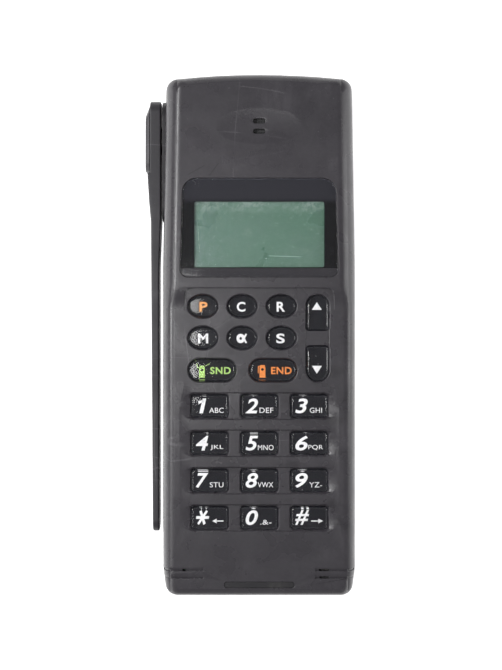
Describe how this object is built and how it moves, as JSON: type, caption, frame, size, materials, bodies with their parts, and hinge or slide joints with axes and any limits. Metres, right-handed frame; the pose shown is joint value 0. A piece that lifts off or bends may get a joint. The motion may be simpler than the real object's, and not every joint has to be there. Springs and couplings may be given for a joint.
{
  "type": "hand-held cellular phone",
  "caption": "Brick-shaped cellular phone with a raised display, travelling keys, a blade antenna that folds along its side and a slide-on battery pack.",
  "frame": {"origin": "middle of the flat back face, which rests on the table at Z=0", "axes": "+X to the right of the keypad seen from the front, +Y along the length towards the earpiece, +Z out of the keypad face"},
  "size_m": [0.0732, 0.179, 0.0356],
  "materials": {
    "front_plastic": "fine sparkle texture, worn satin",
    "rear_plastic": "fine sparkle texture, worn satin",
    "battery_plastic": "fine sparkle texture, worn satin",
    "clear_window": "clear, fine scratches",
    "black_mask": "printed black, gloss",
    "liquid_crystal": "grey-green, hazy",
    "white_frame": "matt white",
    "pink_elastomer": "matt",
    "circuit_board": "solder mask, satin",
    "black_rubber": "matt",
    "black_part": "satin",
    "black_cloth": "woven",
    "bright_can": "satin",
    "label": "film, satin",
    "tinned_can": "tinned",
    "ceramic_block": "fired, matt",
    "gold_contact": "gold plated",
    "pad_plastic": "satin",
    "steel": "turned",
    "brass": "bare",
    "antenna_plastic": "moulded, satin",
    "cap_plastic": "moulded, satin",
    "cell_sleeve": "shrink sleeve",
    "key_gloss": "clear cap over a dark print, gloss"
  },
  "bodies": {
    "case": {"front_shell": "front_plastic", "rear_shell": "rear_plastic", "display_lens": "clear_window", "lens_mask": "black_mask", "lcd_glass": "liquid_crystal", "lcd_frame": "white_frame", "backlight_panel": "white_frame", "lcd_connectors": "pink_elastomer", "key_board": "circuit_board", "keypad_mat": "black_rubber", "earpiece_speaker": "black_part", "earpiece_mesh": "black_cloth", "microphone": "bright_can", "microphone_boot": "black_rubber", "label_strip": "label", "main_board": "circuit_board", "board_header": "black_part", "transmitter_can": "tinned_can", "receiver_can": "tinned_can", "duplexer_filter": "ceramic_block", "power_amplifier": "bright_can", "ringer": "black_part", "system_connector": "black_part", "battery_springs": "gold_contact", "antenna_pad": "pad_plastic", "antenna_pivot": "steel", "pivot_nut": "brass", "friction_washer": "steel", "antenna_feed": "gold_contact", "case_screws": "steel"},
    "antenna": {"antenna_blade": "antenna_plastic", "antenna_element": "brass", "antenna_hub_cap": "cap_plastic"},
    "battery": {"battery_case": "battery_plastic", "battery_cover": "rear_plastic", "battery_cells": "cell_sleeve", "cell_straps": "tinned_can", "battery_contacts": "gold_contact"},
    "key_p_body": {"key_p": "key_gloss"},
    "key_c_body": {"key_c": "key_gloss"},
    "key_r_body": {"key_r": "key_gloss"},
    "key_m_body": {"key_m": "key_gloss"},
    "key_alpha_body": {"key_alpha": "key_gloss"},
    "key_s_body": {"key_s": "key_gloss"},
    "key_send_body": {"key_send": "key_gloss"},
    "key_end_body": {"key_end": "key_gloss"},
    "key_up_body": {"key_up": "key_gloss"},
    "key_down_body": {"key_down": "key_gloss"},
    "key_1_body": {"key_1": "key_gloss"},
    "key_2_body": {"key_2": "key_gloss"},
    "key_3_body": {"key_3": "key_gloss"},
    "key_4_body": {"key_4": "key_gloss"},
    "key_5_body": {"key_5": "key_gloss"},
    "key_6_body": {"key_6": "key_gloss"},
    "key_7_body": {"key_7": "key_gloss"},
    "key_8_body": {"key_8": "key_gloss"},
    "key_9_body": {"key_9": "key_gloss"},
    "key_star_body": {"key_star": "key_gloss"},
    "key_0_body": {"key_0": "key_gloss"},
    "key_hash_body": {"key_hash": "key_gloss"}
  },
  "joints": [
    {"name": "antenna_hinge", "type": "hinge", "parent": "case", "child": "antenna", "pos_m": [-0.038, 0.0683, 0.014], "axis": [-1, 0, 0], "range_deg": [0, 180]},
    {"name": "battery_slide", "type": "slide", "parent": "case", "child": "battery", "axis": [0, -1, 0], "range_m": [0, 0.101]},
    {"name": "key_p_press", "type": "slide", "parent": "case", "child": "key_p_body", "axis": [0, 0, -1], "range_m": [0, 0.0008], "stiffness_N_per_m": 1500},
    {"name": "key_c_press", "type": "slide", "parent": "case", "child": "key_c_body", "axis": [0, 0, -1], "range_m": [0, 0.0008], "stiffness_N_per_m": 1500},
    {"name": "key_r_press", "type": "slide", "parent": "case", "child": "key_r_body", "axis": [0, 0, -1], "range_m": [0, 0.0008], "stiffness_N_per_m": 1500},
    {"name": "key_m_press", "type": "slide", "parent": "case", "child": "key_m_body", "axis": [0, 0, -1], "range_m": [0, 0.0008], "stiffness_N_per_m": 1500},
    {"name": "key_alpha_press", "type": "slide", "parent": "case", "child": "key_alpha_body", "axis": [0, 0, -1], "range_m": [0, 0.0008], "stiffness_N_per_m": 1500},
    {"name": "key_s_press", "type": "slide", "parent": "case", "child": "key_s_body", "axis": [0, 0, -1], "range_m": [0, 0.0008], "stiffness_N_per_m": 1500},
    {"name": "key_send_press", "type": "slide", "parent": "case", "child": "key_send_body", "axis": [0, 0, -1], "range_m": [0, 0.0008], "stiffness_N_per_m": 1500},
    {"name": "key_end_press", "type": "slide", "parent": "case", "child": "key_end_body", "axis": [0, 0, -1], "range_m": [0, 0.0008], "stiffness_N_per_m": 1500},
    {"name": "key_up_press", "type": "slide", "parent": "case", "child": "key_up_body", "axis": [0, 0, -1], "range_m": [0, 0.0008], "stiffness_N_per_m": 1500},
    {"name": "key_down_press", "type": "slide", "parent": "case", "child": "key_down_body", "axis": [0, 0, -1], "range_m": [0, 0.0008], "stiffness_N_per_m": 1500},
    {"name": "key_1_press", "type": "slide", "parent": "case", "child": "key_1_body", "axis": [0, 0, -1], "range_m": [0, 0.0008], "stiffness_N_per_m": 1500},
    {"name": "key_2_press", "type": "slide", "parent": "case", "child": "key_2_body", "axis": [0, 0, -1], "range_m": [0, 0.0008], "stiffness_N_per_m": 1500},
    {"name": "key_3_press", "type": "slide", "parent": "case", "child": "key_3_body", "axis": [0, 0, -1], "range_m": [0, 0.0008], "stiffness_N_per_m": 1500},
    {"name": "key_4_press", "type": "slide", "parent": "case", "child": "key_4_body", "axis": [0, 0, -1], "range_m": [0, 0.0008], "stiffness_N_per_m": 1500},
    {"name": "key_5_press", "type": "slide", "parent": "case", "child": "key_5_body", "axis": [0, 0, -1], "range_m": [0, 0.0008], "stiffness_N_per_m": 1500},
    {"name": "key_6_press", "type": "slide", "parent": "case", "child": "key_6_body", "axis": [0, 0, -1], "range_m": [0, 0.0008], "stiffness_N_per_m": 1500},
    {"name": "key_7_press", "type": "slide", "parent": "case", "child": "key_7_body", "axis": [0, 0, -1], "range_m": [0, 0.0008], "stiffness_N_per_m": 1500},
    {"name": "key_8_press", "type": "slide", "parent": "case", "child": "key_8_body", "axis": [0, 0, -1], "range_m": [0, 0.0008], "stiffness_N_per_m": 1500},
    {"name": "key_9_press", "type": "slide", "parent": "case", "child": "key_9_body", "axis": [0, 0, -1], "range_m": [0, 0.0008], "stiffness_N_per_m": 1500},
    {"name": "key_star_press", "type": "slide", "parent": "case", "child": "key_star_body", "axis": [0, 0, -1], "range_m": [0, 0.0008], "stiffness_N_per_m": 1500},
    {"name": "key_0_press", "type": "slide", "parent": "case", "child": "key_0_body", "axis": [0, 0, -1], "range_m": [0, 0.0008], "stiffness_N_per_m": 1500},
    {"name": "key_hash_press", "type": "slide", "parent": "case", "child": "key_hash_body", "axis": [0, 0, -1], "range_m": [0, 0.0008], "stiffness_N_per_m": 1500}
  ]
}
